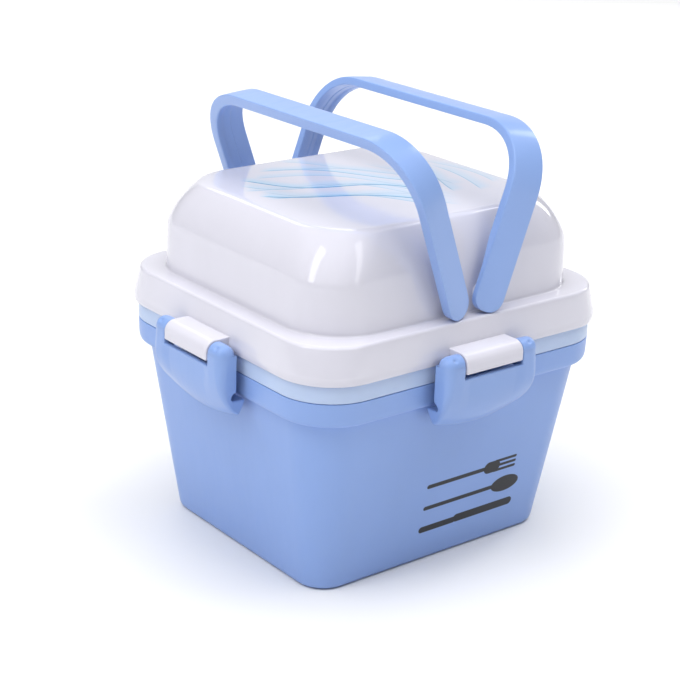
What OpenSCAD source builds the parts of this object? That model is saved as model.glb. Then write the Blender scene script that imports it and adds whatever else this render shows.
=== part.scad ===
// Two-layer bento lunch box: tapered outer box, lift-out tray, domed lid,
// two folding bail handles and four swing latches.
// Origin: centre of the base, on the surface the box stands on. Front is -Y.

/* [Overall] */
// Width of the lid at its lower edge
lid_w = 180; // [176:1:186]
// Depth of the lid at its lower edge
lid_d = 163; // [159:1:169]
// Plan corner radius of the lid
lid_r = 26.9; // [25:0.1:29]
// Height of the lid's lower edge above the base
lid_z = 109.5; // [108:0.5:112]

/* [Outer box] */
// Width of the base
base_w = 143; // [140:1:146]
// Depth of the base
base_d = 123; // [120:1:126]
// Plan corner radius of the base
base_r = 14; // [12:1:16]
// Wall thickness of box and tray
wall = 2.2; // [1.8:0.1:2.6]
// Height of the pale tray band seen under the lid
band_h = 8.5; // [8:0.1:9]
// Height of the box's rim band
rim_h = 11.4; // [11:0.1:12]
// Radius of the rounded underside of the rim
rim_round = 4.2; // [3.8:0.1:4.6]

/* [Tray] */
// Height of the tray floor's underside above the base
tray_z = 60; // [50:1:64]
// Position of the removable divider across the width
divider_x = 18; // [0:1:30]
// Thickness of the divider
divider_t = 2; // [1.6:0.2:2.4]
// Height of the divider
divider_h = 37; // [30:1:38]

/* [Lid] */
// Height of the ledge above the lid's lower edge
ledge_h = 17.5; // [17:0.5:18]
// Height of the dome's knee above the lid's lower edge
knee_h = 40; // [38:1:42]
// Height of the dome's upper crease above the lid's lower edge
crease_h = 60.6; // [59:0.2:62]
// Extra height in the middle of the top face
crown_h = 0.9; // [0.5:0.1:1.5]

/* [Handles] */
// Width of the handle strap
strap_w = 14.8; // [13:0.2:15.4]
// Thickness of the handle strap
strap_t = 4.5; // [4:0.1:4.6]
// Distance from the pivot to the top of the crossbar
handle_l = 79; // [78:0.5:81]
// Lean of each handle from upright
handle_lean = 20; // [10:1:30]
// Plan corner radius between arm and crossbar
handle_r = 27; // [22:1:30]
// Distance of each handle's pivot from the middle
pivot_x = 9.5; // [8.4:0.1:10.5]
// Height of the handle pivots above the lid's lower edge
pivot_h = 25.5; // [25.4:0.1:27]
// Diameter of the handle pivot studs
stud_d = 6; // [5:0.5:7]

/* [Latches] */
// Width of a latch over its two arms
latch_w = 55; // [53:1:58]
// Width of the lid's hinge boss between the arms
boss_w = 34; // [32:1:36]
// Distance of the hinge axis outside the lid's lower edge
hinge_out = 7.9; // [7.8:0.1:8.2]
// Height of the hinge axis above the lid's lower edge
hinge_up = 2; // [1.8:0.1:2.2]
// Diameter of the hinge pins
pin_d = 3; // [2.5:0.1:3.2]
// Drop of the latch below the lid's lower edge
latch_drop = 31.5; // [30:0.5:33]

/* [Hidden] */

$fn = 64;
corner_n = 6;
eps = 0.01;
seam = 0.3;
running = 0.05;

half_w = lid_w / 2;
half_d = lid_d / 2;

// Box: the rim band and the wall under it stand inside the lid's lower edge
band_z = lid_z - band_h;
rim_z = band_z - rim_h;
rim_inset = 0.9;
rim_draft = 0.3;
rim_edge = 0.5;
wall_inset = 5.6;
foot_round = 2.6;
inner_fillet = 3;
floor_t = 2.5;

// Tray: gap to the box, own wall, and the rim's upstand inside the lid
tray_gap = 0.8;
tray_wall = 1.8;
tray_out = wall + tray_gap;
tray_in = tray_out + tray_wall;
tray_edge = 0.4;
upstand_out = 4.8;
upstand_in = 7.2;
upstand_top = lid_z + 9.9;
groove_in = 5.4;
groove_out = 1.8;
groove_h = 2.5;
seal_slack = 0.1;

// Divider and its guide ribs
rib_t = 1.8;
rib_foot = 5.5;
rib_top = 3;
rib_sink = 0.9;
divider_slack = 0.6;
divider_corner = 4;
finger_r = 15;

// Lid: wall, skirt and the flange that hangs inside the tray's upstand
lid_t = 2.2;
flange_drop = 4;
flange_t = 2;
skirt_edge = 0.9;
skirt_bulge = 1;
skirt_widest = 3.5;
skirt_taper = 1.5;
shoulder = 1.7;
seal_h = 5;

// Dome sizes: half width, half depth and corner radius at each level
dome_base = [79.4, 71.9, 28];
dome_knee = [78.3, 69.2, 23];
dome_crease = [66.4, 60.0, 26];
dome_bulge = 1.1;

// Handle pivots: outer face of the arms, faces of the lid's pivot bosses, caps
arm_y = 79.1;
boss_face_y = arm_y - strap_t - 0.4;
boss_back_y = 67.5;
boss_d = 10;
cap_d = 11;
cap_t = 3.5;
stud_bite = 1;
stud_end = boss_back_y - seam - cap_t + stud_bite;

// Latch, as distances outward from and up from the lid's lower edge
arm_r = 5;
front_out = hinge_out + arm_r;
back_out = hinge_out - 4.6;
shell_t = 2.4;
chin_r = 26;
chin_z = -10;
hook_z = -20.3;
hook_in = -2.3;
hook_t = 2.2;
notch_top = -13;
notch_deep = 1.9;
notch_slope = 3.5;
notch_low = -19;
lip_in = -1.2;
crotch_z = -4.1;
hollow_drop = 2.4;
waist_z = -14;
taper_z = -22;
taper_share = 0.3;
low_narrowing = 6;
pin_short = 5;
boss_low = -1.8;
boss_nose = 1.5;
boss_top = hinge_up + arm_r + 0.3;
boss_front = front_out + 0.3;
far = 30;

box_blue = "#8fb0ea";
pale_blue = "#b8cdea";
lid_white = "#eeeef4";
seal_grey = "#d8dde4";
steel = "silver";

// ---- outlines and lofts ------------------------------------------------

function corner(cx, cy, r, a0) =
    [for (i = [0:corner_n]) let (a = a0 + 90 * i / corner_n) [cx + r * cos(a), cy + r * sin(a)]];

function outline(hw, hd, r) = concat(
    corner(hw - r, hd - r, r, 0), corner(r - hw, hd - r, r, 90),
    corner(r - hw, r - hd, r, 180), corner(hw - r, r - hd, r, 270));

function ring(l) = [for (p = outline(l[0], l[1], l[2])) [p[0], p[1], l[3]]];

function mix(a, b, t) = a * (1 - t) + b * t;

// Rounded outline a given distance inside the lid's lower edge
function inside_lid(inset, z) = [half_w - inset, half_d - inset, lid_r - 0.6 * inset, z];

// Tapered wall of the box at height z, moved inwards by t
function wall_at(z, t) = let (k = z / rim_z) [
    mix(base_w / 2, half_w - wall_inset, k) - t,
    mix(base_d / 2, half_d - wall_inset, k) - t,
    mix(base_r, lid_r - 0.6 * wall_inset, k) - t * 0.6, z];

// Levels of a rounded corner between a floor at height z and a wall moved in by t
function floor_arc(z, t, r, angles) =
    [for (a = angles) wall_at(z + r * (1 - cos(a)), t + r * (1 - sin(a)))];
upwards = [0, 45, 90];
downwards = [90, 45, 0];

// A solid through a list of levels [half width, half depth, radius, z]. The list
// starts on a face that looks down and ends on a face that looks up, or closes
// on itself to make a ring.
module loft(levels, closed = false) {
    n = 4 * (corner_n + 1);
    count = len(levels);
    bands = closed ? count : count - 1;
    sides = [for (i = [0:bands - 1], j = [0:n - 1]) let (
        a = i * n + j,
        b = i * n + (j + 1) % n,
        d = ((i + 1) % count) * n + j,
        c = ((i + 1) % count) * n + (j + 1) % n) each [[a, d, c], [a, c, b]]];
    caps = closed ? [] : [[for (j = [0:n - 1]) j], [for (j = [n - 1:-1:0]) (count - 1) * n + j]];
    polyhedron([for (l = levels) each ring(l)], concat(sides, caps), convexity = 8);
}

// A prism along X, centred, from an outline given as [outward, up]
module across(width) {
    mirror([0, 1, 0])
        rotate([90, 0, 90])
            translate([0, 0, -width / 2])
                linear_extrude(width) children();
}

// A prism along Y, centred, from an outline given as [x, z]
module along_y(length) {
    rotate([90, 0, 0])
        translate([0, 0, -length / 2])
            linear_extrude(length) children();
}

module rod_y(d, y0, y1) {
    translate([0, y0, 0])
        rotate([-90, 0, 0])
            cylinder(d = d, h = y1 - y0);
}

module rod_x(d, length) {
    translate([-length / 2, 0, 0])
        rotate([0, 90, 0])
            cylinder(d = d, h = length);
}

// Moves a part drawn for the front side, with y = 0 at the lid's edge, to one
// of the four sides: 0 front, 90 right, 180 back, 270 left
module on_side(turn) {
    reach = (turn % 180 == 0) ? half_d : half_w;
    rotate([0, 0, turn])
        translate([0, -reach, lid_z]) children();
}

// ---- box and tray ------------------------------------------------------

module outer_box() {
    rim_levels = [for (a = [0:18:90]) inside_lid(
        rim_inset + rim_draft + rim_round * (1 - sin(a)), rim_z + rim_round * (1 - cos(a)))];
    color(box_blue)
        loft(concat(
            floor_arc(0, 0, foot_round, upwards),
            [wall_at(rim_z - eps, 0)],
            rim_levels,
            [inside_lid(rim_inset, band_z - rim_edge), inside_lid(rim_inset + rim_edge, band_z)],
            [wall_at(band_z, wall)],
            floor_arc(floor_t, wall, inner_fillet, downwards)));
}

module upper_tray() {
    low = band_z + seam;
    color(pale_blue)
        union() {
            loft(concat(
                floor_arc(tray_z, tray_out, inner_fillet, upwards),
                [wall_at(low, tray_out)],
                [inside_lid(groove_in, low), inside_lid(groove_in, low + groove_h)],
                [inside_lid(groove_out, low + groove_h), inside_lid(groove_out, low)],
                [inside_lid(rim_inset + tray_edge, low), inside_lid(rim_inset, low + tray_edge)],
                [inside_lid(rim_inset, lid_z - seam - tray_edge)],
                [inside_lid(rim_inset + tray_edge, lid_z - seam)],
                [inside_lid(upstand_out, lid_z - seam), inside_lid(upstand_out, upstand_top)],
                [inside_lid(upstand_in, upstand_top), inside_lid(upstand_in + 0.1, lid_z)],
                [wall_at(band_z, tray_in)],
                floor_arc(tray_z + tray_wall, tray_in, inner_fillet, downwards)));
            for (end = [-1, 1], side = [-1, 1])
                translate([divider_x + side * (divider_t / 2 + seam + rib_t / 2), 0, 0])
                    at_end(end) divider_rib();
        }
}

// Keeps a part drawn for the back (end = 1) or mirrors it to the front (end = -1)
module at_end(end) {
    mirror([0, end < 0 ? 1 : 0, 0]) children();
}

// One guide rib of the divider, on the back wall of the tray
module divider_rib() {
    z0 = tray_z + tray_wall - rib_sink / 2;
    z1 = band_z - 2;
    y0 = wall_at(z0, tray_in)[1];
    y1 = wall_at(z1, tray_in)[1];
    across(rib_t)
        mirror([1, 0])
            polygon([[y0 - rib_foot, z0], [y0, z0], [y1 + rib_sink, z1], [y1 - rib_top, z1]]);
}

module tray_seal() {
    z0 = band_z + seam;
    z1 = z0 + groove_h - seal_slack;
    inner = groove_in - seal_slack;
    outer = groove_out + seal_slack;
    color(seal_grey)
        loft([
            inside_lid(inner, z0), inside_lid(outer, z0),
            inside_lid(outer, z1), inside_lid(inner, z1)], closed = true);
}

module tray_divider() {
    z0 = tray_z + tray_wall + seam;
    z1 = z0 + divider_h;
    z_side = z0 + divider_corner;
    y0 = wall_at(z0, tray_in + divider_corner)[1];
    y1 = wall_at(z_side, tray_in + divider_slack)[1];
    y2 = wall_at(z1, tray_in + divider_slack)[1];
    color(pale_blue)
        translate([divider_x, 0, 0])
            across(divider_t)
                difference() {
                    polygon([[-y0, z0], [y0, z0], [y1, z_side], [y2, z1], [-y2, z1], [-y1, z_side]]);
                    translate([0, z1 + finger_r / 4]) circle(r = finger_r);
                }
}

// ---- lid ----------------------------------------------------------------

// Level of the dome between knee (t = 0) and crease (t = 1), moved inwards by t_in
function panel_at(t, t_in) = let (swell = dome_bulge * 4 * t * (1 - t)) [
    mix(dome_knee[0], dome_crease[0], t) + swell - t_in,
    mix(dome_knee[1], dome_crease[1], t) + swell - t_in,
    mix(dome_knee[2], dome_crease[2], t) - t_in * 0.6,
    lid_z + mix(knee_h, crease_h, t) + swell - t_in * 0.7];

function dome_at(spec, h, t_in) = [spec[0] - t_in, spec[1] - t_in, spec[2] - t_in * 0.6, lid_z + h];

module lid_skin() {
    top = lid_z + crease_h + crown_h;
    loft(concat(
        [[34, 31, 12, top - lid_t], dome_at(dome_crease, crease_h - lid_t + 0.4, 5)],
        [for (t = [0.85:-0.2:0.05]) panel_at(t, lid_t)],
        [dome_at(dome_knee, knee_h - 8, lid_t - 0.2), dome_at(dome_base, ledge_h, lid_t)],
        [dome_at(dome_base, -flange_drop, lid_t), dome_at(dome_base, -flange_drop, lid_t - flange_t)],
        [dome_at(dome_base, ledge_h - lid_t, 0)],
        [inside_lid(4, lid_z + ledge_h - lid_t), inside_lid(lid_t - 0.4, lid_z + 3)],
        [inside_lid(lid_t, lid_z), inside_lid(seam, lid_z), inside_lid(-0.6, lid_z + skirt_edge)],
        [inside_lid(-skirt_bulge, lid_z + skirt_widest)],
        [inside_lid(skirt_taper, lid_z + ledge_h - shoulder)],
        [inside_lid(2, lid_z + ledge_h - 0.5), inside_lid(3.2, lid_z + ledge_h)],
        [dome_at(dome_base, ledge_h + 0.2, -0.8), dome_at(dome_base, ledge_h + 1.2, 0)],
        [dome_at(dome_base, mix(ledge_h, knee_h, 0.5), 0.4)],
        [dome_at(dome_knee, knee_h - 3, 0), panel_at(0, 0)],
        [for (t = [0.2:0.2:0.8]) panel_at(t, 0)],
        [dome_at(dome_crease, crease_h, 0), dome_at(dome_crease, crease_h + 0.5, 6)],
        [[36, 33, 14, top]]));
}

// Rounded boss on the skirt that carries one latch's hinge pin
module hinge_boss() {
    root = -0.8;
    across(boss_w) {
        translate([hinge_out, hinge_up]) circle(r = boss_front - hinge_out);
        polygon(concat(
            [[root, 1], [root, boss_top], [hinge_out, boss_top], [boss_front, hinge_up]],
            [for (a = [0:15:90]) [
                boss_front - boss_nose * (1 - cos(a)), boss_low + boss_nose * (1 - sin(a))]],
            [[hinge_out / 2, boss_low], [2 * -root, 0.4]]));
    }
}

module at_pivots() {
    for (side = [-1, 1])
        translate([side * pivot_x, 0, lid_z + pivot_h]) children();
}

module lid_shell() {
    color(lid_white)
        difference() {
            union() {
                lid_skin();
                for (turn = [0:90:270])
                    on_side(turn) hinge_boss();
                at_pivots() {
                    rod_y(boss_d, boss_back_y, boss_face_y);
                    rod_y(boss_d, -boss_face_y, -boss_back_y);
                }
            }
            at_pivots() rod_y(stud_d + 2 * running, -half_d, half_d);
            for (turn = [0:90:270])
                on_side(turn)
                    translate([0, -hinge_out, hinge_up]) rod_x(pin_d + 2 * running, boss_w + 2);
        }
}

module lid_seal() {
    h1 = ledge_h - lid_t;
    h0 = h1 - seal_h;
    outer = 4.3;
    inner = -0.6;
    color(seal_grey)
        loft([
            dome_at(dome_base, h0, inner), inside_lid(outer, lid_z + h0),
            inside_lid(outer, lid_z + h1), dome_at(dome_base, h1, inner)], closed = true);
}

// ---- handles -------------------------------------------------------------

// Square-cornered on the pivot side, round at the far corners
module bail_outline(hy, top, r) {
    translate([-hy, -strap_w]) square([2 * hy, strap_w + top - r]);
    translate([r - hy, 0]) square([2 * (hy - r), top]);
    for (side = [-1, 1])
        translate([side * (hy - r), top - r]) circle(r = r);
}

// A bail handle standing upright on its pivot axis, which runs along Y
module handle() {
    intersection() {
        across(strap_w)
            difference() {
                bail_outline(arm_y, handle_l, handle_r);
                bail_outline(arm_y - strap_t, handle_l - strap_t, handle_r - strap_t);
            }
        along_y(2 * arm_y + 2)
            union() {
                circle(d = strap_w);
                translate([-strap_w / 2, 0]) square([strap_w, handle_l + 1]);
            }
    }
    for (end = [-1, 1])
        at_end(end) rod_y(stud_d, stud_end, arm_y - strap_t / 2);
}

module leaning(side) {
    translate([side * pivot_x, 0, lid_z + pivot_h])
        rotate([0, side * handle_lean, 0]) children();
}

module handle_left() {
    color(box_blue) leaning(-1) handle();
}

module handle_right() {
    color(box_blue) leaning(1) handle();
}

// Push-on cap that keeps one pivot stud in the lid, end = 1 back, -1 front
module pivot_cap(end) {
    color(lid_white)
        at_end(end)
            difference() {
                rod_y(cap_d, boss_back_y - seam - cap_t, boss_back_y - seam);
                rod_y(stud_d, stud_end, boss_back_y);
            }
}

module pivot_cap_left_front() { leaning(-1) pivot_cap(-1); }
module pivot_cap_left_back() { leaning(-1) pivot_cap(1); }
module pivot_cap_right_front() { leaning(1) pivot_cap(-1); }
module pivot_cap_right_back() { leaning(1) pivot_cap(1); }

// ---- latches -------------------------------------------------------------

chin_end = asin((latch_drop + chin_z) / chin_r);

// Side profile as [outward, up]: round head, straight back with a notch for the
// rim, hook, and a front face that curves in to the lower lip
module latch_profile() {
    centre = front_out - chin_r;
    notch_out = back_out + notch_deep;
    translate([hinge_out, hinge_up]) circle(r = arm_r);
    polygon(concat(
        [[back_out, hinge_up], [back_out, notch_top]],
        [[notch_out, notch_top - notch_slope], [notch_out, notch_low]],
        [[back_out, hook_z], [hook_in, hook_z], [hook_in, hook_z - hook_t], [lip_in, -latch_drop]],
        [for (a = [chin_end:-chin_end / 8:-eps]) [centre + chin_r * cos(a), chin_z - chin_r * sin(a)]],
        [[front_out, hinge_up]]));
}

// Hollow behind the front face, above and below the hook plate
module latch_hollow() {
    centre = front_out - chin_r;
    inner = chin_r - shell_t;
    last = 1.05 * chin_end;
    top = crotch_z - hollow_drop;
    difference() {
        polygon(concat(
            [[-far, top], [front_out - shell_t, top]],
            [for (k = [0:8]) let (a = last * k / 8) [centre + inner * cos(a), chin_z - inner * sin(a)]],
            [[-far, -latch_drop - shell_t]]));
        translate([-far, hook_z - hook_t]) square([2 * far, hook_t]);
    }
}

// Front outline as [x, z], moved inwards by t: upright above the waist, narrower below
module latch_front_outline(t) {
    top_half = latch_w / 2 - t;
    low_half = top_half - low_narrowing;
    taper_half = mix(top_half, low_half, taper_share);
    low = -latch_drop - 4;
    half = [[top_half, 2 * arm_r], [top_half, waist_z], [taper_half, taper_z], [low_half, low]];
    polygon(concat(half, [for (k = [len(half) - 1:-1:0]) [-half[k][0], half[k][1]]]));
}

module latch() {
    color(box_blue)
        difference() {
            intersection() {
                across(latch_w) latch_profile();
                along_y(2 * far) latch_front_outline(0);
            }
            intersection() {
                across(latch_w) latch_hollow();
                along_y(2 * far) latch_front_outline(shell_t);
            }
            translate([-boss_w / 2 - 0.5, -far, crotch_z]) cube([boss_w + 1, 2 * far, far]);
            translate([0, -hinge_out, hinge_up]) rod_x(pin_d + 2 * running, latch_w - pin_short + 2 * seam);
        }
}

module hinge_pin() {
    color(steel)
        translate([0, -hinge_out, hinge_up]) rod_x(pin_d, latch_w - pin_short);
}

module latch_front() { on_side(0) latch(); }
module latch_right() { on_side(90) latch(); }
module latch_back() { on_side(180) latch(); }
module latch_left() { on_side(270) latch(); }

module hinge_pin_front() { on_side(0) hinge_pin(); }
module hinge_pin_right() { on_side(90) hinge_pin(); }
module hinge_pin_back() { on_side(180) hinge_pin(); }
module hinge_pin_left() { on_side(270) hinge_pin(); }

outer_box();
upper_tray();
tray_seal();
tray_divider();
lid_shell();
lid_seal();
handle_left();
handle_right();
pivot_cap_left_front();
pivot_cap_left_back();
pivot_cap_right_front();
pivot_cap_right_back();
latch_front();
latch_right();
latch_back();
latch_left();
hinge_pin_front();
hinge_pin_right();
hinge_pin_back();
hinge_pin_left();
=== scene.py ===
"""Looks of a two-layer bento lunch box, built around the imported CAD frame.

Shapes are in millimetres until a mesh is made. The camera, the lights, the floor and
the materials' depths are in metres. The front is -Y, and angles round Z start there.
"""

import math

import bmesh
import bpy
import numpy as np
from mathutils import Matrix, Vector


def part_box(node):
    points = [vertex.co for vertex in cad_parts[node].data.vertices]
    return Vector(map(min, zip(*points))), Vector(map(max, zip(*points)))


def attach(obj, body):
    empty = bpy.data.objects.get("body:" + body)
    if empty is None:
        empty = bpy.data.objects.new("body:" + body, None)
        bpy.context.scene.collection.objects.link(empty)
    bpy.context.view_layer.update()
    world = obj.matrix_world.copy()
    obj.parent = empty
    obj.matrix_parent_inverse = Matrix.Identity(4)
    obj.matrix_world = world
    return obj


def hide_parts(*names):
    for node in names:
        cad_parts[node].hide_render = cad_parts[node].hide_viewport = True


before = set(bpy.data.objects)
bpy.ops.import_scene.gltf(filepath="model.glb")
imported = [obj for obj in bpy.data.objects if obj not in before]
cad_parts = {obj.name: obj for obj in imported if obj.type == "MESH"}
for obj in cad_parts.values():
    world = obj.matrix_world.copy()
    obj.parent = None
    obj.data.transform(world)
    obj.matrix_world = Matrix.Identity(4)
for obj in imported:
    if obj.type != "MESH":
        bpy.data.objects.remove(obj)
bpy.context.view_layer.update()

MM = 0.001


# ---- sizes, worked out from the CAD nodes' boxes -------------------------------

def box_mm(node):
    low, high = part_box(node)
    return np.array(low) / MM, np.array(high) / MM


RIM_INSET = 0.9  # the box's rim stands this far inside the lid's lower edge
BAND_H = 8.5  # height of the tray's pale band
RIM_H = 11.4  # height of the box's rim band
RIM_ROUND = 4.2  # radius of the rim band's rounded underside
RIM_DRAFT = 0.3  # the rim band is narrower by this at its foot
WALL = 2.2
SEAM = 0.3  # gap between pieces that rest on each other
WALL_INSET = 5.6  # the wall meets the rim band this far inside the lid's lower edge
TRAY_OUT = WALL + 0.8  # the tray's outer face, inside the box's outer face
TRAY_T = 1.8  # the tray's wall and floor
TRAY_IN = TRAY_OUT + TRAY_T
LID_R = 26.9  # plan corner radius of the lid's lower edge
CORNER_SHARE = 0.6  # a corner's radius shrinks by this share of an inset

box_high = box_mm("outer_box")[1]
tray_low = box_mm("upper_tray")[0]
lid_high = box_mm("lid_shell")[1]
divider_low, divider_high = box_mm("tray_divider")

HALF_W = box_high[0] + RIM_INSET
HALF_D = box_high[1] + RIM_INSET
BAND_Z = box_high[2]
LID_Z = BAND_Z + BAND_H
RIM_Z = BAND_Z - RIM_H
TRAY_Z = tray_low[2]
TOP_Z = lid_high[2]
BASE = (71.5, 61.5, 14.0)  # half width, half depth, corner radius of the base

# Heights on the lid, above its lower edge
LEDGE_H = 17.5
KNEE_H = 40.0
CREASE_H = 60.6
# Half width, half depth and corner radius of the dome at three heights
DOME_BASE = (79.4, 71.9, 28.0)
DOME_KNEE = (78.3, 69.2, 23.0)
DOME_CREASE = (66.4, 60.0, 26.0)
DOME_BULGE = 1.1  # the dome's slope swells by this in its middle
LID_T = 2.2

PIVOT_X, PIVOT_H = 9.5, 25.5  # the handles' pivots, from the middle and above the lid's edge
ARM_Y = 79.1  # a handle arm's middle
STRAP_W = 14.8
HANDLE_L, HANDLE_R, LEAN = 79.0, 27.0, 20.0  # length, corner radius, degrees from upright
BOSS_FACE_Y, BOSS_BACK_Y = 74.2, 67.5

HINGE_OUT, HINGE_UP = 7.9, 2.0  # a latch's hinge, outward of and above the lid's lower edge
ARM_R = 5.0  # radius of a latch's head round its hinge
FRONT_OUT = HINGE_OUT + ARM_R
LATCH_HALF, BOSS_HALF = 27.5, 17.0  # half widths of a latch and of the lid's hinge boss
LATCH_LOW = -31.5
PIN_BORE_R = 1.55
SIDES = {"front": 0, "right": 90, "back": 180, "left": 270}  # degrees round Z from the front


# ---- making meshes ---------------------------------------------------------------

def make_piece(name, points, faces, body, material, replaced, normals=None, sharp=40):
    """A smooth-shaded mesh piece from points in millimetres, riding on a CAD body."""
    mesh = bpy.data.meshes.new(name)
    mesh.from_pydata((np.asarray(points, float) * MM).tolist(), [], faces)
    mesh.polygons.foreach_set("use_smooth", [True] * len(mesh.polygons))
    if normals is None:
        bm = bmesh.new()
        bm.from_mesh(mesh)
        bmesh.ops.recalc_face_normals(bm, faces=bm.faces)
        bm.to_mesh(mesh)
        bm.free()
        mesh.set_sharp_from_angle(angle=math.radians(sharp))
    else:
        mesh.normals_split_custom_set_from_vertices([tuple(n) for n in normals])
    mesh.materials.append(material)
    piece = bpy.data.objects.new(name, mesh)
    bpy.context.scene.collection.objects.link(piece)
    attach(piece, body)
    if replaced:
        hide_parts(*replaced)
    return piece


def mix(a, b, t):
    return a * (1 - t) + b * t


# A level is (half width, half depth, corner radius, z) of a rounded rectangle.

def inside_lid(inset, z):
    """A level parallel to the lid's lower edge, moved inwards."""
    return np.array([HALF_W - inset, HALF_D - inset, LID_R - CORNER_SHARE * inset, z])


def wall_at(z, t=0.0):
    """A level of the box's tapered wall, moved inwards by t."""
    k = z / RIM_Z
    r = mix(BASE[2], LID_R - CORNER_SHARE * WALL_INSET, k) - CORNER_SHARE * t
    return np.array([
        mix(BASE[0], HALF_W - WALL_INSET, k) - t, mix(BASE[1], HALF_D - WALL_INSET, k) - t, r, z])


def dome_at(spec, h, t=0.0):
    """A level of the dome at a height over the lid's lower edge, moved inwards by t."""
    return np.array([spec[0] - t, spec[1] - t, spec[2] - CORNER_SHARE * t, LID_Z + h])


def panel_at(k, t=0.0):
    """The dome's slope between knee (k = 0) and crease (k = 1), moved inwards by t."""
    swell = DOME_BULGE * 4 * k * (1 - k)
    spec = [mix(a, b, k) for a, b in zip(DOME_KNEE, DOME_CREASE)]
    h = mix(KNEE_H, CREASE_H, k) + swell - 0.7 * t
    return dome_at((spec[0] + swell, spec[1] + swell, spec[2]), h, t)


def rounded(stations, steps=6):
    """Levels from (level, cut) stations: each corner is rounded over a length of cut."""
    levels = []
    for i, (here, cut) in enumerate(stations):
        if cut <= 0 or i in (0, len(stations) - 1):
            levels.append(here)
            continue
        ends = []
        for other in (stations[i - 1][0], stations[i + 1][0]):
            way = other - here
            length = np.hypot(way[:2].mean(), way[3])
            ends.append(here + way * min(0.48, cut / length))
        for t in np.linspace(0, 1, steps + 1):
            levels.append((1 - t) ** 2 * ends[0] + 2 * t * (1 - t) * here + t * t * ends[1])
    return levels


def outline(half_w, half_d, radius, arc_steps=14, side_steps=6):
    """Points round a rounded rectangle, with extra points along its straight sides."""
    points = []
    for quarter, (sx, sy) in enumerate(((1, 1), (-1, 1), (-1, -1), (1, -1))):
        centre = np.array([sx * (half_w - radius), sy * (half_d - radius)])
        for k in range(arc_steps + 1):
            a = math.radians(90 * (quarter + k / arc_steps))
            points.append(centre + radius * np.array([math.cos(a), math.sin(a)]))
    full, n = [], len(points)
    for i, p in enumerate(points):
        full.append(p)
        if i % (arc_steps + 1) == arc_steps:
            full += [mix(p, points[(i + 1) % n], k / side_steps) for k in range(1, side_steps)]
    return np.array(full)


def loft(levels, closed=False):
    """Points and faces of a solid through rounded-rectangle levels."""
    rings = []
    for level in levels:
        flat = outline(*level[:3])
        rings.append(np.c_[flat, np.full(len(flat), level[3])])
    n, count = len(rings[0]), len(rings)
    faces = []
    for i in range(count if closed else count - 1):
        a, b = i * n, ((i + 1) % count) * n
        faces += [(a + j, a + (j + 1) % n, b + (j + 1) % n, b + j) for j in range(n)]
    if not closed:
        faces += [tuple(range(n - 1, -1, -1)), tuple(range((count - 1) * n, count * n))]
    return np.concatenate(rings), faces


def smax(a, b, k):
    """The larger of two fields, rounded over where they cross within k."""
    h = np.maximum(k - np.abs(a - b), 0) / k
    return np.maximum(a, b) + h * h * k / 4


def smin(a, b, k):
    return -smax(-a, -b, k)


def gradient(field, p, step=0.02):
    shifts = np.eye(3) * step
    return np.stack([(field(p + s) - field(p - s)) / (2 * step) for s in shifts], -1)


def surface_net(field, low, high, cell):
    """Points, quads and normals of the surface where field is zero; field is negative inside."""
    axes = [np.arange(low[k], high[k] + cell, cell) for k in range(3)]
    grid = np.stack(np.meshgrid(*axes, indexing="ij"), -1)
    f = field(grid.reshape(-1, 3)).reshape(grid.shape[:3])
    cells = np.array(f.shape) - 1
    total, count = np.zeros((*cells, 3)), np.zeros(cells)
    crossings = []
    for axis in range(3):
        first = [slice(None)] * 3
        second = [slice(None)] * 3
        first[axis], second[axis] = slice(None, -1), slice(1, None)
        fa, fb = f[tuple(first)], f[tuple(second)]
        cross = (fa < 0) != (fb < 0)
        t = np.where(cross, fa / np.where(cross, fa - fb, 1), 0)
        points = grid[tuple(first)] + t[..., None] * cell * np.eye(3)[axis]
        crossings.append((cross, fa < 0))
        u, v = (axis + 1) % 3, (axis + 2) % 3
        for du in (0, 1):
            for dv in (0, 1):
                part = [slice(None)] * 3
                part[u], part[v] = slice(du, du + cells[u]), slice(dv, dv + cells[v])
                hit = cross[tuple(part)]
                total += np.where(hit[..., None], points[tuple(part)], 0)
                count += hit
    active = count > 0
    index = np.full(cells, -1)
    index[active] = np.arange(active.sum())
    points = total[active] / count[active][:, None]
    quads = []
    for axis, (cross, leaving) in enumerate(crossings):
        at = np.argwhere(cross)
        u, v = (axis + 1) % 3, (axis + 2) % 3
        ring = []
        for du, dv in ((-1, -1), (0, -1), (0, 0), (-1, 0)):
            shifted = at.copy()
            shifted[:, u] += du
            shifted[:, v] += dv
            ring.append(index[tuple(shifted.T)])
        quad = np.stack(ring, 1)
        outwards = leaving[tuple(at.T)]
        quads.append(np.where(outwards[:, None], quad, quad[:, ::-1]))
    for _ in range(4):
        g = gradient(field, points)
        size = np.maximum((g * g).sum(1), 0.05)
        move = (field(points) / size)[:, None] * g
        far = np.maximum(np.linalg.norm(move, axis=1) / (0.4 * cell), 1)
        points = points - move / far[:, None]
    g = gradient(field, points)
    normals = g / np.maximum(np.linalg.norm(g, axis=1), 1e-6)[:, None]
    return points, np.concatenate(quads).tolist(), normals


def turned(points, degrees):
    """Points turned about Z, as from the front side to another side."""
    a = math.radians(degrees)
    turn = np.array([[math.cos(a), -math.sin(a), 0], [math.sin(a), math.cos(a), 0], [0, 0, 1]])
    return points @ turn.T


def on_side(points, normals, turn):
    """From (along, outward, up of the lid's edge) on the front to one of the four sides."""
    reach = HALF_D if turn % 180 == 0 else HALF_W
    flip = np.array([1, -1, 1])
    placed = points * flip + np.array([0, -reach, LID_Z])
    return turned(placed, turn), turned(normals * flip, turn)


# ---- materials -------------------------------------------------------------------

def linear(*srgb):
    """A colour from its three values of 0 to 255."""
    return tuple((c / 255 / 12.92) if c <= 10 else ((c / 255 + 0.055) / 1.055) ** 2.4 for c in srgb)


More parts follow.
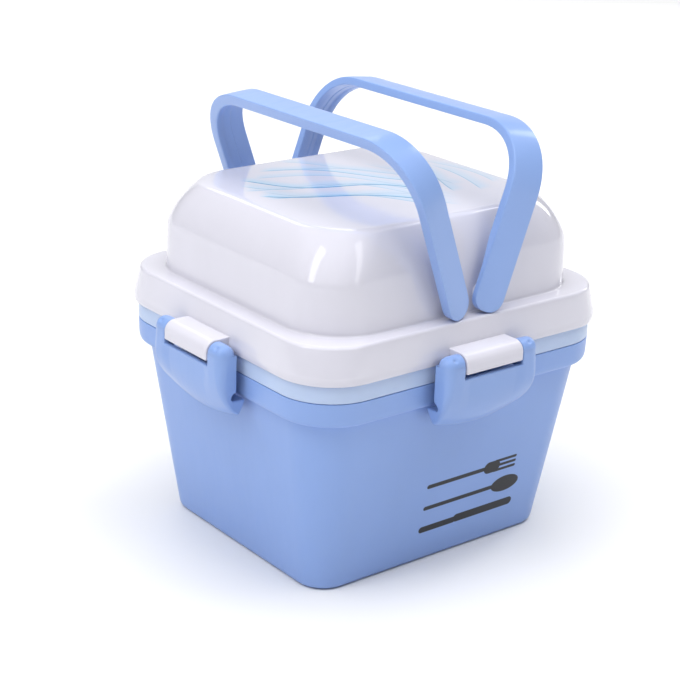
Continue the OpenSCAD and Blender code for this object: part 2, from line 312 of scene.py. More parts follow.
class Graph:
    """A small wrapper for building a material's nodes."""

    def __init__(self, name):
        self.material = bpy.data.materials.new(name)
        self.material.use_nodes = True
        self.tree = self.material.node_tree
        self.shader = self.tree.nodes["Principled BSDF"]
        coordinates = self.tree.nodes.new("ShaderNodeTexCoord")
        self.place = coordinates.outputs["Object"]

    def put(self, socket, value):
        if isinstance(value, bpy.types.NodeSocket):
            self.tree.links.new(value, socket)
        else:
            socket.default_value = value

    def node(self, kind, inputs, output=0, **settings):
        made = self.tree.nodes.new("ShaderNode" + kind)
        for key, value in settings.items():
            setattr(made, key, value)
        for key, value in inputs.items():
            self.put(made.inputs[key], value)
        return made.outputs[output]

    def math(self, operation, a, b=0.0, c=0.0):
        return self.node("Math", {0: a, 1: b, 2: c}, operation=operation)

    def place_mm(self):
        """The x, y and z of the place on the object, in millimetres."""
        place = self.node("SeparateXYZ", {0: self.place})
        return [self.math("MULTIPLY", axis, 1 / MM) for axis in place.node.outputs]

    def step(self, value, start, end):
        return self.node("MapRange", {"Value": value, "From Min": start, "From Max": end},
                         interpolation_type="SMOOTHSTEP")

    def mix(self, factor, a, b):
        made = self.tree.nodes.new("ShaderNodeMix")
        made.data_type = "RGBA"
        for socket, value in ((made.inputs[0], factor), (made.inputs[6], a), (made.inputs[7], b)):
            self.put(socket, value)
        return made.outputs[2]

    def noise(self, scale, detail=2.0, stretch=(1, 1, 1)):
        moved = self.node("Mapping", {"Vector": self.place, "Scale": stretch})
        return self.node("TexNoise", {"Vector": moved, "Scale": scale, "Detail": detail})

    def set(self, **inputs):
        for key, value in inputs.items():
            self.put(self.shader.inputs[key.replace("_", " ")], value)

    def bump(self, height, depth, strength=1.0):
        out = self.node("Bump", {"Height": height, "Distance": depth, "Strength": strength})
        self.put(self.shader.inputs["Normal"], out)


def plastic(name, colour, roughness, grain=0.00002, sheen_spread=0.07, soft=0.0, coat=0.0,
            print_on=None):
    """Moulded plastic: slight flow marks in the colour, a fine grain, and rubbed streaks."""
    g = Graph(name)
    flow = g.noise(24, 3, (1, 1, 0.45))
    paler = tuple(min(1.0, c * 1.06 + 0.006) for c in colour)
    deeper = tuple(c * 0.95 for c in colour)
    base = g.mix(flow, (*deeper, 1), (*paler, 1))
    fine = g.noise(2600, 2)
    streaks = g.noise(60, 3, (1, 5, 1))
    rubbed = g.step(streaks, 0.42, 0.72)
    rough = g.math("MULTIPLY_ADD", rubbed, sheen_spread, roughness)
    rough = g.math("MULTIPLY_ADD", g.noise(420, 2), sheen_spread * 0.5, rough)
    if print_on:
        ink, ink_colour = print_on(g)
        base = g.mix(ink, base, ink_colour)
    g.set(Base_Color=base, Roughness=rough)
    if soft:
        g.set(Subsurface_Weight=soft, Subsurface_Radius=(0.4, 0.6, 1.0), Subsurface_Scale=0.002)
    if coat:
        g.set(Coat_Weight=coat, Coat_Roughness=0.08)
    ripple = g.noise(38, 2)
    height = g.math("MULTIPLY_ADD", ripple, 1.5, fine)
    g.bump(height, grain)
    return g.material


def wave_print(g):
    """Thin flowing waves with a pale wash on one side, printed on the lid's top."""
    x, y, z = g.place_mm()
    along = g.math("ADD", g.math("MULTIPLY", x, 0.76), g.math("MULTIPLY", y, -0.65))
    across = g.math("ADD", g.math("MULTIPLY", x, 0.65), g.math("MULTIPLY", y, 0.76))
    total_line, total_wash = 0.0, 0.0
    # Each line's offset, swing, wave number, phase, two ends, half width and strength
    sweeping = [
        (-8, 5.5, 0.080, 0.9, -61, 44, 0.55, 1.0), (-10, 8.0, 0.070, 1.5, -60, 46, 0.35, 0.7),
        (-13, 9.0, 0.062, 2.1, -58, 40, 0.35, 0.6), (-26, 4.5, 0.065, 1.0, -50, 46, 0.6, 1.0),
        (-29, 6.5, 0.060, 1.8, -46, 40, 0.35, 0.7), (-22, 6.0, 0.072, 0.4, -50, 46, 0.35, 0.6),
        (3, 7.0, 0.060, 2.8, -56, 38, 0.35, 0.6), (14, 6.0, 0.065, 3.4, -54, 44, 0.45, 0.8),
        (20, 5.0, 0.070, 2.6, -50, 34, 0.35, 0.6), (27, 8.0, 0.055, 4.0, -46, 30, 0.35, 0.5)]
    crossing = [
        (34, 9.0, 0.050, 0.6, -34, 26, 0.35, 0.7), (42, 8.0, 0.045, 1.4, -38, 20, 0.35, 0.6),
        (50, 9.0, 0.048, 2.0, -30, 30, 0.35, 0.5), (28, 7.0, 0.060, 2.6, -26, 34, 0.35, 0.5)]
    for p, q, lines in ((along, across, sweeping), (y, x, crossing)):
        for offset, swing, number, phase, start, end, half, strength in lines:
            angle = g.math("MULTIPLY_ADD", p, number, phase)
            curve = g.math("MULTIPLY_ADD", g.math("SINE", angle), swing, offset)
            gap = g.math("SUBTRACT", q, curve)
            window = g.math("MULTIPLY", g.step(p, start, start + 7), g.step(p, end, end - 22))
            window = g.math("MULTIPLY", window, strength)
            line = g.step(g.math("ABSOLUTE", gap), half + 0.4, half - 0.2)
            total_line = g.math("MAXIMUM", total_line, g.math("MULTIPLY", line, window))
            wash = g.math("MULTIPLY", g.step(gap, 10.0, 0.0), g.math("GREATER_THAN", gap, 0.0))
            wash = g.math("MULTIPLY", wash, g.math("MULTIPLY", window, 0.6))
            total_wash = g.math("MAXIMUM", total_wash, wash)
    on_top = g.step(z, LID_Z + CREASE_H - 1.5, LID_Z + CREASE_H)
    ink = g.math("MULTIPLY", g.math("MAXIMUM", total_line, total_wash), on_top)
    tint = g.mix(total_line, (*linear(140, 205, 240), 1), (*linear(70, 145, 190), 1))
    return ink, tint


def cutlery_print(g):
    """A plain fork, spoon and knife in dark ink, low on the front's right-hand side.

    The ink is placed by x, y and z alone, so it shows on the front wall's inner face too."""
    x, y, z = g.place_mm()

    def capsule(x0, x1, level, radius):
        past = g.math("SUBTRACT", x, g.math("MINIMUM", g.math("MAXIMUM", x, x0), x1))
        aside = g.math("SUBTRACT", z, level)
        square = g.math("ADD", g.math("MULTIPLY", past, past), g.math("MULTIPLY", aside, aside))
        return g.math("SUBTRACT", g.math("SQRT", square), radius)

    def bowl(cx, level, half_l, half_h):
        a = g.math("DIVIDE", g.math("SUBTRACT", x, cx), half_l)
        b = g.math("DIVIDE", g.math("SUBTRACT", z, level), half_h)
        square = g.math("ADD", g.math("MULTIPLY", a, a), g.math("MULTIPLY", b, b))
        return g.math("MULTIPLY", g.math("SUBTRACT", g.math("SQRT", square), 1.0), half_h)

    start, fork_z, spoon_z, knife_z = -12, 42, 30, 18
    shapes = [capsule(start, 26, fork_z, 1.1), capsule(26, 30, fork_z, 3.2)]
    shapes += [capsule(30, 43, fork_z + k * 2.6, 0.75) for k in (-1, 0, 1)]
    shapes += [capsule(start, 32, spoon_z, 1.1), bowl(39, spoon_z, 9, 4.4)]
    shapes += [capsule(start, 8, knife_z, 1.7), capsule(10, 44, knife_z + 0.5, 2.2)]
    nearest = shapes[0]
    for shape in shapes[1:]:
        nearest = g.math("MINIMUM", nearest, shape)
    ink = g.math("MULTIPLY", g.step(nearest, 0.12, -0.12), g.math("LESS_THAN", y, -BASE[1] + 4))
    return ink, (*linear(14, 12, 16), 1)


def silicone(name, colour):
    g = Graph(name)
    cloud = g.noise(45, 3)
    base = g.mix(cloud, (*[c * 0.93 for c in colour], 1), (*[min(1, c * 1.04) for c in colour], 1))
    g.set(Base_Color=base, Roughness=g.math("MULTIPLY_ADD", g.noise(900, 2), 0.2, 0.5))
    g.set(Subsurface_Weight=0.15, Subsurface_Scale=0.003, Sheen_Weight=0.15)
    g.bump(g.noise(1500, 3), 0.00004)
    return g.material


def steel(name):
    g = Graph(name)
    drawn = g.noise(700, 4, (0.05, 1, 1))
    g.set(Base_Color=g.mix(drawn, (0.50, 0.50, 0.52, 1), (0.72, 0.72, 0.74, 1)), Metallic=1.0)
    g.set(Roughness=g.math("MULTIPLY_ADD", drawn, 0.2, 0.2))
    g.bump(drawn, 0.00001)
    return g.material


# No plastic's roughness range crosses 0.27 to 0.28: the denoiser leaves dark specks there.
WHITE = linear(214, 213, 224)
box_plastic = plastic("box_blue_satin", linear(137, 167, 224), 0.34, soft=0.06,
                      print_on=cutlery_print)
handle_plastic = plastic("handle_blue_satin", linear(140, 170, 226), 0.32, coat=0.3)
latch_plastic = plastic("latch_blue_satin", linear(134, 164, 220), 0.32, coat=0.2)
tray_plastic = plastic("tray_pale_blue", linear(183, 201, 232), 0.30, soft=0.08)
lid_plastic = plastic("lid_white_gloss", WHITE, 0.06, grain=0.000005, sheen_spread=0.03,
                      coat=0.4, print_on=wave_print)
boss_plastic = plastic("boss_white_gloss", WHITE, 0.16, grain=0.000008, sheen_spread=0.05)
seal_silicone = silicone("seal_silicone", linear(214, 222, 232))
pin_steel = steel("pin_drawn_steel")


# ---- box, tray, divider and seals --------------------------------------------------

def add_outer_box():
    foot = 0.8  # the underside is dished, so the box stands on a narrow foot
    dish = [wall_at(foot, 14), wall_at(foot, 7.6), wall_at(0, 6.8), wall_at(0, 0)]
    floor_z = 2.5
    rim_low = inside_lid(RIM_INSET + RIM_DRAFT + RIM_ROUND, RIM_Z)
    stations = [
        (dish[0], 0), (dish[1], 0.6), (dish[2], 0.5), (dish[3], 3.2),
        (wall_at(RIM_Z), 0.5), (rim_low, 0.4), (inside_lid(RIM_INSET + RIM_DRAFT, RIM_Z), 3.9),
        (inside_lid(RIM_INSET, BAND_Z), 0.5), (wall_at(BAND_Z, WALL), 0.6),
        (wall_at(floor_z, WALL), 3.2), (wall_at(floor_z, 20), 0)]
    points, faces = loft(rounded(stations))
    make_piece("outer_box_shell", points, faces, "box", box_plastic, ["outer_box"])


def add_upper_tray():
    low, high = BAND_Z + SEAM, LID_Z - SEAM
    groove_in, groove_out, groove_h = 5.4, 1.8, 2.5  # the seal's groove under the rim
    lip_out, lip_in, lip_z = 4.8, 7.2, LID_Z + 9.9  # the upstanding lip inside the lid
    floor_z = TRAY_Z + TRAY_T
    stations = [
        (wall_at(TRAY_Z, 20), 0), (wall_at(TRAY_Z, TRAY_OUT), 3.2), (wall_at(low, TRAY_OUT), 0.5),
        (inside_lid(groove_in, low), 0.2), (inside_lid(groove_in, low + groove_h), 0.2),
        (inside_lid(groove_out, low + groove_h), 0.2), (inside_lid(groove_out, low), 0.2),
        (inside_lid(RIM_INSET, low), 0.4), (inside_lid(RIM_INSET, high), 0.4),
        (inside_lid(lip_out, high), 0.5), (inside_lid(lip_out, lip_z), 0.7),
        (inside_lid(lip_in, lip_z), 0.7), (inside_lid(lip_in + 0.1, LID_Z), 3.0),
        (wall_at(BAND_Z - 1.0, TRAY_IN), 3.0), (wall_at(floor_z, TRAY_IN), 3.2),
        (wall_at(floor_z, 20), 0)]
    points, faces = loft(rounded(stations))
    make_piece("upper_tray_shell", points, faces, "tray", tray_plastic,
               ["upper_tray"])


def divider_ribs(end):
    """The pair of guide ribs on one end wall of the tray, as one implicit shape."""
    z0, z1 = TRAY_Z + 1.3, BAND_Z - 2
    half_t = 0.9  # half a rib's thickness
    middle = (divider_low[0] + divider_high[0]) / 2
    offset = (divider_high[0] - divider_low[0]) / 2 + SEAM + half_t

    def field(p):
        x, y, z = np.abs(np.abs(p[:, 0] - middle) - offset), p[:, 1] * end, p[:, 2]
        k = z / RIM_Z
        wall_y = mix(BASE[1], HALF_D - WALL_INSET, k) - TRAY_IN
        depth = mix(5.5, 3.0, (z - z0) / (z1 - z0))
        f = smax(x - half_t, wall_y - depth - y, 0.8)
        f = smax(f, y - wall_y - 0.5, 0.3)
        return smax(smax(f, z0 - z, 0.4), z - z1, 1.6)

    ys = sorted((end * 60.0, end * 78.0))
    low = (middle - offset - 1.6, ys[0], z0 - 1)
    high = (middle + offset + 1.6, ys[1], z1 + 1)
    points, faces, normals = surface_net(field, low, high, 0.5)
    name = "divider_rib_" + ("back" if end > 0 else "front")
    make_piece(name, points, faces, "tray", tray_plastic, [], normals)


def add_divider():
    """The loose partition, with a finger notch in the middle of its top edge."""
    x0, x1, z0, z1 = divider_low[0], divider_high[0], divider_low[2], divider_high[2]
    notch_r, notch_up = 15, 3.75

    def field(p):
        x, y, z = np.abs(p[:, 0] - (x0 + x1) / 2), np.abs(p[:, 1]), p[:, 2]
        side = y - (mix(BASE[1], HALF_D - WALL_INSET, z / RIM_Z) - TRAY_IN - 0.6)
        f = smax(smax(side, z0 - z, 5.0), z - z1, 2.5)
        f = smax(f, notch_r - np.hypot(y, z - z1 - notch_up), 2.0)
        return smax(f, x - (x1 - x0) / 2, 0.9)

    points, faces, normals = surface_net(field, divider_low - 1, divider_high + 1, 0.5)
    make_piece("tray_divider_plate", points, faces, "divider", tray_plastic,
               ["tray_divider"], normals)


def add_seal(name, corners, body, replaced):
    """A moulded silicone ring: its section's corners, rounded, run all the way round."""
    stations = [(corners[-1], 0)] + [(c, 0.7) for c in corners] + [(corners[0], 0)]
    points, faces = loft(rounded(stations, 4)[1:-1], closed=True)
    make_piece(name, points, faces, body, seal_silicone, [replaced])


def add_seals():
    low = BAND_Z + SEAM
    tray_ring = [inside_lid(5.3, low), inside_lid(1.9, low), inside_lid(1.9, low + 2.4),
                 inside_lid(5.3, low + 2.4)]
    add_seal("tray_seal_ring", tray_ring, "tray", "tray_seal")
    h1 = LEDGE_H - LID_T
    h0 = h1 - 5
    lid_ring = [dome_at(DOME_BASE, h0, -0.6), inside_lid(4.3, LID_Z + h0),
                inside_lid(4.3, LID_Z + h1), dome_at(DOME_BASE, h1, -0.6)]
    add_seal("lid_seal_ring", lid_ring, "lid", "lid_seal")


# ---- lid ---------------------------------------------------------------------------

def crown(k, t=0.0):
    """The lid's nearly flat top: k = 0 at the crease, 1 in the middle."""
    rise = (TOP_Z - LID_Z - CREASE_H) * (1 - (1 - k) ** 2)
    level = dome_at(DOME_CREASE, CREASE_H + rise - t, t)
    level[:3] *= 1 - k
    return level


def add_lid():
    """The lid's shell, from the middle of its inside, round its lower edge, to its top."""
    inner = [
        (crown(0.92, LID_T), 0), (crown(0.6, LID_T), 0), (crown(0.3, LID_T), 0),
        (crown(0, LID_T), 2.5), (panel_at(0.66, LID_T), 0), (panel_at(0.33, LID_T), 0),
        (panel_at(0, LID_T), 4.0), (dome_at(DOME_BASE, LEDGE_H, LID_T), 0),
        (dome_at(DOME_BASE, -4, LID_T), 0.5), (dome_at(DOME_BASE, -4, 0.2), 0.5),
        (dome_at(DOME_BASE, LEDGE_H - LID_T), 0.4), (inside_lid(4, LID_Z + LEDGE_H - LID_T), 1.2),
        (inside_lid(LID_T - 0.4, LID_Z + 3), 0.8), (inside_lid(LID_T, LID_Z), 0.4)]
    outer = [
        (inside_lid(-0.5, LID_Z), 0.8), (inside_lid(-1.15, LID_Z + 3.2), 1.6),
        (inside_lid(1.8, LID_Z + LEDGE_H), 1.5), (dome_at(DOME_BASE, LEDGE_H), 1.2),
        (panel_at(0), 2.6), (panel_at(0.2), 0), (panel_at(0.4), 0), (panel_at(0.6), 0),
        (panel_at(0.8), 0), (crown(0), 4.2), (crown(0.15), 0), (crown(0.3), 0), (crown(0.45), 0),
        (crown(0.6), 0), (crown(0.78), 0), (crown(0.92), 0)]
    points, faces = loft(rounded(inner + outer, 8))
    make_piece("lid_dome", points, faces, "lid", lid_plastic, ["lid_shell"])


def hinge_boss_field(p):
    """A hinge boss as (along, outward, up) from the lid's lower edge."""
    x, d, z = np.abs(p[:, 0]), p[:, 1], p[:, 2]
    curl = np.hypot(d - HINGE_OUT, z - HINGE_UP) - ARM_R - 0.2
    corner = (d > HINGE_OUT) & (z > HINGE_UP)
    f = np.where(corner, curl, np.maximum(d - FRONT_OUT, z - HINGE_UP - ARM_R) - 0.2)
    f = smax(f, -1.8 - z, 0.5)
    f = smax(f, -0.8 - d, 0.4)
    f = smax(f, x - BOSS_HALF, 0.7)
    bore = np.hypot(d - HINGE_OUT, z - HINGE_UP) - PIN_BORE_R
    return smax(f, -bore, 0.3)


def add_hinge_bosses():
    points, faces, normals = surface_net(hinge_boss_field, (-18, -2, -3), (18, 15, 9), 0.4)
    flipped = [f[::-1] for f in faces]  # on_side mirrors the shape
    for side, turn in SIDES.items():
        placed, facing = on_side(points, normals, turn)
        make_piece("hinge_boss_" + side, placed, flipped, "lid", boss_plastic,
                   [], facing)


def lathe(profile, steps=48):
    """Points and faces of a solid turned about Y, from (radius, y) points."""
    points, faces = [], []
    for r, y in profile:
        for k in range(steps):
            a = 2 * math.pi * k / steps
            points.append((r * math.cos(a), y, r * math.sin(a)))
    for i in range(len(profile) - 1):
        a, b = i * steps, (i + 1) * steps
        faces += [(a + j, a + (j + 1) % steps, b + (j + 1) % steps, b + j) for j in range(steps)]
    faces += [tuple(range(steps)), tuple(range((len(profile) - 1) * steps, len(profile) * steps))]
    return np.array(points), faces


def add_pivot_bosses():
    """The short white bosses that carry the handles, standing on the dome's end walls."""
    r, edge = 4.2, 0.5
    profile = [(0.5, BOSS_BACK_Y), (r, BOSS_BACK_Y), (r, BOSS_FACE_Y - edge),
               (r - 0.3 * edge, BOSS_FACE_Y - 0.3 * edge), (r - edge, BOSS_FACE_Y),
               (3.2, BOSS_FACE_Y)]
    points, faces = lathe(profile)
    for side, sx in (("left", -1), ("right", 1)):
        for end, sy in (("front", -1), ("back", 1)):
            placed = points * np.array([1, sy, 1]) + np.array([sx * PIVOT_X, 0, LID_Z + PIVOT_H])
            make_piece(f"pivot_boss_{side}_{end}", placed, faces, "lid",
                       boss_plastic, [])


# ---- handles -----------------------------------------------------------------------

def rounded_section(corners, steps=4):
    """A closed outline from (across, depth, slope, cut) corners, each rounded over its cut."""
    out, n = [], len(corners)
    for i, corner in enumerate(corners):
        here = np.array(corner[:3])
        ends = []
        for other in (corners[i - 1], corners[(i + 1) % n]):
            way = np.array(other[:3]) - here
            ends.append(here + way * min(0.45, corner[3] / np.hypot(*way[:2])))
        for t in np.linspace(0, 1, steps + 1):
            out.append((1 - t) ** 2 * ends[0] + 2 * t * (1 - t) * here + t * t * ends[1])
    return np.array(out)


def strap_section():
    """The strap's section: across is away from the middle, depth outward from the loop.

    It is drafted: the edge away from the middle stands proud, and the inner face is dished.
    Each point keeps the slope of its face, so that the face stays flat where the strap narrows."""
    half = STRAP_W / 2
    outer_depth, inner_depth = -0.4, -5.3  # the faces' depths at the strap's middle
    outer_slope, inner_slope = 0.257, 0.149

    def outer(a, lift=0.0):
        return outer_depth + outer_slope * a + lift, outer_slope

    def inner(a, lift=0.0):
        return inner_depth + inner_slope * a + lift, inner_slope

    dish, lip, rib = 0.28, 2.6, 0.6
    foot = lip + 1.8  # where the lip's slope meets the dish
    corners = [(half, *outer(half), 0.7), (0, *outer(0, 0.15), 3.0), (-half, *outer(-half), 0.7),
               (-half, *inner(-half), 0.8), (lip - half, *inner(lip - half), 0.6),
               (foot - half, *inner(lip - half, dish), 0.9), (-rib, *inner(0, dish), 0.1),
               (0, *inner(0, dish - 0.15), 0.1), (rib, *inner(0, dish), 0.1),
               (half - foot, *inner(half - lip, dish), 0.9), (half - lip, *inner(half - lip), 0.6),
               (half, *inner(half), 0.8)]
    return rounded_section(corners)


def evenly(points, spacing):
    """The same line with its points evenly apart, and the outward direction at each."""
    lengths = np.r_[0, np.cumsum(np.linalg.norm(np.diff(points, axis=0), axis=1))]
    wanted = np.linspace(0, lengths[-1], int(lengths[-1] / spacing) + 2)
    placed = np.stack([np.interp(wanted, lengths, points[:, k]) for k in (0, 1)], 1)
    way = np.gradient(placed, axis=0)
    way /= np.linalg.norm(way, axis=1)[:, None]
    return placed, np.stack([-way[:, 1], way[:, 0]], 1)


def bail_path():
    """(y, up, outward y, outward up, width share) along the loop, from front foot to back foot."""
    half_w = STRAP_W / 2
    reach = 1.17 * HANDLE_R  # the corners are a little squarer than a circle, and ease in and out
    share = 2 / 2.15
    t = np.radians(np.linspace(0, 90, 300))
    corner = np.stack([-(ARM_Y - reach) - reach * np.cos(t) ** share,
                       HANDLE_L - reach + reach * np.sin(t) ** share], 1)
    line, outward = evenly(np.concatenate([[(-ARM_Y, 0)], corner, [(0, HANDLE_L)]]), 1.8)
    outward[-1] = (0, 1)
    path = []
    for a in np.linspace(8, 90, 13)[:-1]:
        c, s = math.cos(math.radians(a)), math.sin(math.radians(a))
        path.append((-ARM_Y, -half_w * c ** 0.9, -1.0, 0.0, s ** 0.9))
    path += [(y, u, ny, nu, 1.0) for (y, u), (ny, nu) in zip(line, outward)]
    return path + [(-y, u, -ny, nu, w) for y, u, ny, nu, w in path[-2::-1]]


def add_handle(name, side, body, replaced):
    section = strap_section()
    across, slope = section[:, 0], section[:, 2]
    boss_limit = 0.4 - (ARM_Y - BOSS_FACE_Y)
    rings = []
    for y, up, ny, nu, width in bail_path():
        depth = section[:, 1] - slope * across * (1 - width)
        near_foot = 1 - min(1, max(0, (up - 12) / 14))
        depth = mix(depth, np.maximum(depth, boss_limit), near_foot)
        rings.append(np.c_[side * across * width, y + ny * depth, up + nu * depth])
    n = len(section)
    faces = []
    for i in range(len(rings) - 1):
        a, b = i * n, (i + 1) * n
        faces += [(a + j, a + (j + 1) % n, b + (j + 1) % n, b + j) for j in range(n)]
    faces += [tuple(range(n)), tuple(range((len(rings) - 1) * n, len(rings) * n))]
    points = np.concatenate(rings)
    stud = [(2.6, 64.7), (3.0, 65.1), (3.0, 75.5), (2.6, 76)]
    for end in (-1, 1):
        stud_points, stud_faces = lathe(stud, 32)
        start = len(points)
        points = np.concatenate([points, stud_points * np.array([1, end, 1])])
        faces += [tuple(start + k for k in f) for f in stud_faces]
    a = math.radians(side * LEAN)
    turn = np.array([[math.cos(a), 0, math.sin(a)], [0, 1, 0], [-math.sin(a), 0, math.cos(a)]])
    placed = points @ turn.T + np.array([side * PIVOT_X, 0, LID_Z + PIVOT_H])
    make_piece(name, placed, faces, body, handle_plastic, [replaced], sharp=50)


def add_pivot_caps():
    """Push-on caps inside the dome, with eight grip notches round their edge."""
    cap_r, cap_half_h, socket_r, socket_floor = 5.5, 1.75, 3.05, 0.75
    for side, sx in (("left", -1), ("right", 1)):
        for end in ("front", "back"):
            node = f"pivot_cap_{side}_{end}"
            low, high = box_mm(node)
            centre = (low + high) / 2
            outward = 1 if end == "back" else -1

            def field(p):
                q = p - centre
                r, turn = np.hypot(q[:, 0], q[:, 2]), np.arctan2(q[:, 2], q[:, 0])
                edge = r - cap_r + 0.35 * (1 + np.cos(8 * turn))
                f = smax(edge, np.abs(q[:, 1]) - cap_half_h, 0.9)
                socket = smax(r - socket_r, -socket_floor - q[:, 1] * outward, 0.2)
                return smax(f, -socket, 0.2)

            points, faces, normals = surface_net(field, low - 1, high + 1, 0.35)
            make_piece(node + "_notched", points, faces, side + "_handle",
                       boss_plastic, [node], normals)


# ---- latches -----------------------------------------------------------------------

def latch_field(p):
    """Latch as (along, outward, up) from the lid's lower edge."""
    x, d, z = np.abs(p[:, 0]), p[:, 1], p[:, 2]
    chin_r, chin_z, shell = 26.0, -10.0, 2.4
    hook_z, hook_in, lip_in, back = -20.3, -2.3, -1.2, HINGE_OUT - 4.6
    head = np.hypot(d - HINGE_OUT, z - HINGE_UP) - ARM_R
    chin = np.hypot(np.maximum(d - FRONT_OUT + chin_r, 0), z - chin_z) - chin_r
    front = np.where(z > HINGE_UP, head, np.where(z < chin_z, chin, d - FRONT_OUT))
    # The panel bows back towards its lower corners and has a shallow thumb pan
    low_share = np.clip((-8 - z) / (-8 - LATCH_LOW), 0, 1)
    front = front + 3.4 * low_share ** 1.5 * (x / 21) ** 2
    pan = np.clip(1 - np.maximum(x - 14, 0) / 6, 0, 1) * np.clip(1 - np.abs(z + 9) / 16, 0, 1)
    front = front + 0.7 * pan * pan * (3 - 2 * pan)
    # Its sides draw in below, and behind it the hook and the lip under it face the box
    narrow = np.clip((-13 - z) / (-13 - LATCH_LOW), 0, 1.2)
    side = x - (LATCH_HALF - 6.0 * narrow ** 1.7)
    upper_back = np.where(z > HINGE_UP, head, back - d)
    lip = mix(hook_in, lip_in, np.clip((hook_z - z) / 11, 0, 1)) - d
    rear = smin(upper_back, smax(z - hook_z, lip, 0.8), 1.2)
    soft = mix(5.5, 1.2, np.clip(-z / 26, 0, 1))
    f = smax(front, side, soft)
    f = smax(smax(f, rear, 1.0), LATCH_LOW - z, 1.0)
    # A rounded relief above the hook, and the gap between the arms for the hinge boss
    f = smax(f, 2.1 - np.hypot(d - 3.6, z + 18.0), 0.5)
    f = smax(f, -smax(x - BOSS_HALF - 0.5, -4.1 - z, 0.5), 0.7)
    # The hollow behind the panel, crossed by one rib
    shoulder_z = mix(-6.5, 0.0, np.clip((BOSS_HALF + 1.5 - x) / 1.5, 0, 1))
    hollow = smax(smax(front + shell, side + shell, 1.5), z - shoulder_z, 1.0)
    f = smax(f, -smax(hollow, 1.1 - np.abs(z + 21.4), 0.5), 0.5)
    # The hinge pin's blind bore, and a dimple on each arm's head
    bore = smax(np.hypot(d - HINGE_OUT, z - HINGE_UP) - PIN_BORE_R, x - 25.3, 0.3)
    f = smax(f, -bore, 0.3)
    a, dimple_x, dimple_out, dimple_r = math.radians(48), 22.3, 5.3, 1.1
    dimple = np.sqrt((x - dimple_x) ** 2 + (d - HINGE_OUT - dimple_out * math.cos(a)) ** 2
                     + (z - HINGE_UP - dimple_out * math.sin(a)) ** 2)
    return smax(f, dimple_r - dimple, 0.9)


def add_latches():
    cell = 0.42
    points, faces, normals = surface_net(latch_field, (-29, -4, -33), (29, 15, 9), cell)
    flipped = [f[::-1] for f in faces]  # on_side mirrors the shape
    for side, turn in SIDES.items():
        placed, facing = on_side(points, normals, turn)
        make_piece("latch_" + side + "_clip", placed, flipped, side + "_latch",
                   latch_plastic, ["latch_" + side], facing)


# ---- camera, lights and floor ------------------------------------------------------

STUDIO_MIDDLE = (0, 0, 0.13)  # every lamp is placed round this point


def away(azimuth, elevation):
    """A direction from the object, in degrees: azimuth 0 is the front, 90 the right."""
    a, e = math.radians(azimuth), math.radians(elevation)
    return Vector((math.sin(a) * math.cos(e), -math.cos(a) * math.cos(e), math.sin(e)))


def add_camera():
    """A camera placed round the middle of the lid's lower edge, aimed a little past it."""
    distance, roll = 0.8251, math.radians(1.98)
    back = away(-38.79, 20.33)
    right = Vector((0, 0, 1)).cross(back).normalized()
    up = back.cross(right)
    c, s = math.cos(roll), math.sin(roll)
    right, up = c * right + s * up, c * up - s * right
    camera = bpy.data.objects.new("camera", bpy.data.cameras.new("camera"))
    turn = Matrix((right, up, back)).transposed()
    place = Vector((0, 0, LID_Z * MM)) + away(-39.56, 19.13) * distance
    camera.matrix_world = Matrix.Translation(place) @ turn.to_4x4()
    camera.data.lens = 89.84
    camera.data.sensor_width = 36
    bpy.context.scene.collection.objects.link(camera)
    bpy.context.scene.camera = camera


def add_softbox(name, azimuth, elevation, distance, size, radiance):
    """A rectangular light that shows as a reflection, with the same brightness at any size."""
    light = bpy.data.lights.new(name, "AREA")
    light.shape = "RECTANGLE"
    light.size, light.size_y = size
    light.energy = radiance * math.pi * size[0] * size[1]
    lamp = bpy.data.objects.new(name, light)
    middle = Vector(STUDIO_MIDDLE)
    lamp.location = middle + away(azimuth, elevation) * distance
    lamp.rotation_euler = (middle - lamp.location).to_track_quat("-Z", "Y").to_euler()
    lamp.visible_camera = False
    bpy.context.scene.collection.objects.link(lamp)
    return lamp


def add_scrim(name, azimuth, elevation, spread, power):
    """A wide, even light. It doesn't show as a reflection, as the softboxes do."""
    light = bpy.data.lights.new(name, "SUN")
    light.energy = power
    light.angle = math.radians(spread)
    lamp = bpy.data.objects.new(name, light)
    lamp.rotation_euler = away(azimuth, elevation).to_track_quat("Z", "Y").to_euler()
    lamp.visible_glossy = False
    bpy.context.scene.collection.objects.link(lamp)


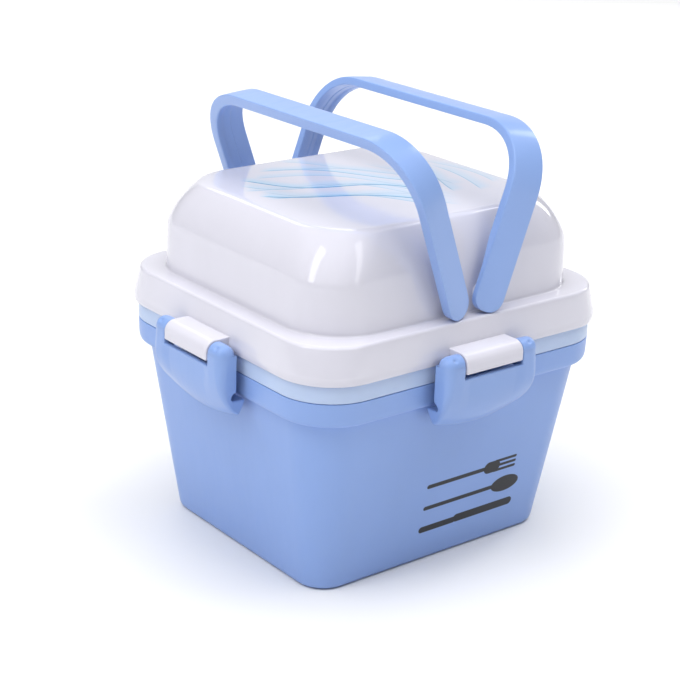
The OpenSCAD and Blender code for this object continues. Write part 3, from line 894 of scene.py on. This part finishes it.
def add_world():
    """An even pale surround that looks as pale as the floor but lights the object softly."""
    light_strength, seen_strength = 0.15, 0.96
    world = bpy.data.worlds.new("studio")
    world.use_nodes = True
    tree = world.node_tree
    path = tree.nodes.new("ShaderNodeLightPath")
    strength = tree.nodes.new("ShaderNodeMapRange")
    strength.inputs["To Min"].default_value = light_strength
    strength.inputs["To Max"].default_value = seen_strength
    background = tree.nodes["Background"]
    background.inputs["Color"].default_value = (1, 1, 1, 1)
    tree.links.new(path.outputs["Is Camera Ray"], strength.inputs["Value"])
    tree.links.new(strength.outputs[0], background.inputs["Strength"])
    bpy.context.scene.world = world


def add_lights():
    """Two wide scrims for the level of light, and softboxes for the highlights on the lid."""
    add_scrim("overhead_scrim", -100, 77, 70, 2.7)
    add_scrim("key_scrim", 55, 60, 34, 0.78)
    add_softbox("left_fill", -92, 30, 1.3, (0.9, 0.7), 0.75).visible_glossy = False
    add_softbox("strip_left", -88, 38, 1.2, (0.24, 1.0), 3.4)
    add_softbox("strip_front", 8, 38, 1.2, (0.2, 1.1), 2.0)
    add_softbox("strip_right", 96, 32, 1.2, (0.2, 0.9), 4.2)
    add_softbox("back_softbox", 158, 39, 1.2, (0.62, 0.26), 2)
    add_softbox("backdrop", 142, 15, 1.6, (1.7, 0.9), 0.5)


def add_floor():
    floor = bpy.data.meshes.new("floor")
    reach = 40.0  # far enough that no low view shows its edge
    corners = [(-reach, -reach, 0), (reach, -reach, 0), (reach, reach, 0), (-reach, reach, 0)]
    floor.from_pydata(corners, [], [(0, 1, 2, 3)])
    g = Graph("floor_pale")
    g.set(Base_Color=(0.82, 0.82, 0.83, 1), Roughness=0.8)
    floor.materials.append(g.material)
    ground = bpy.data.objects.new("floor", floor)
    bpy.context.scene.collection.objects.link(ground)


# ---- everything --------------------------------------------------------------------

bpy.context.scene.view_settings.view_transform = "Standard"
add_camera()
add_world()
add_lights()
add_floor()
add_outer_box()
add_upper_tray()
divider_ribs(1)
divider_ribs(-1)
add_divider()
add_seals()
add_lid()
add_hinge_bosses()
add_pivot_bosses()
add_handle("handle_left_bail", -1, "left_handle", "handle_left")
add_handle("handle_right_bail", 1, "right_handle", "handle_right")
add_pivot_caps()
add_latches()
for pin in SIDES:
    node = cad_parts["hinge_pin_" + pin]
    node.data.materials.clear()
    node.data.materials.append(pin_steel)
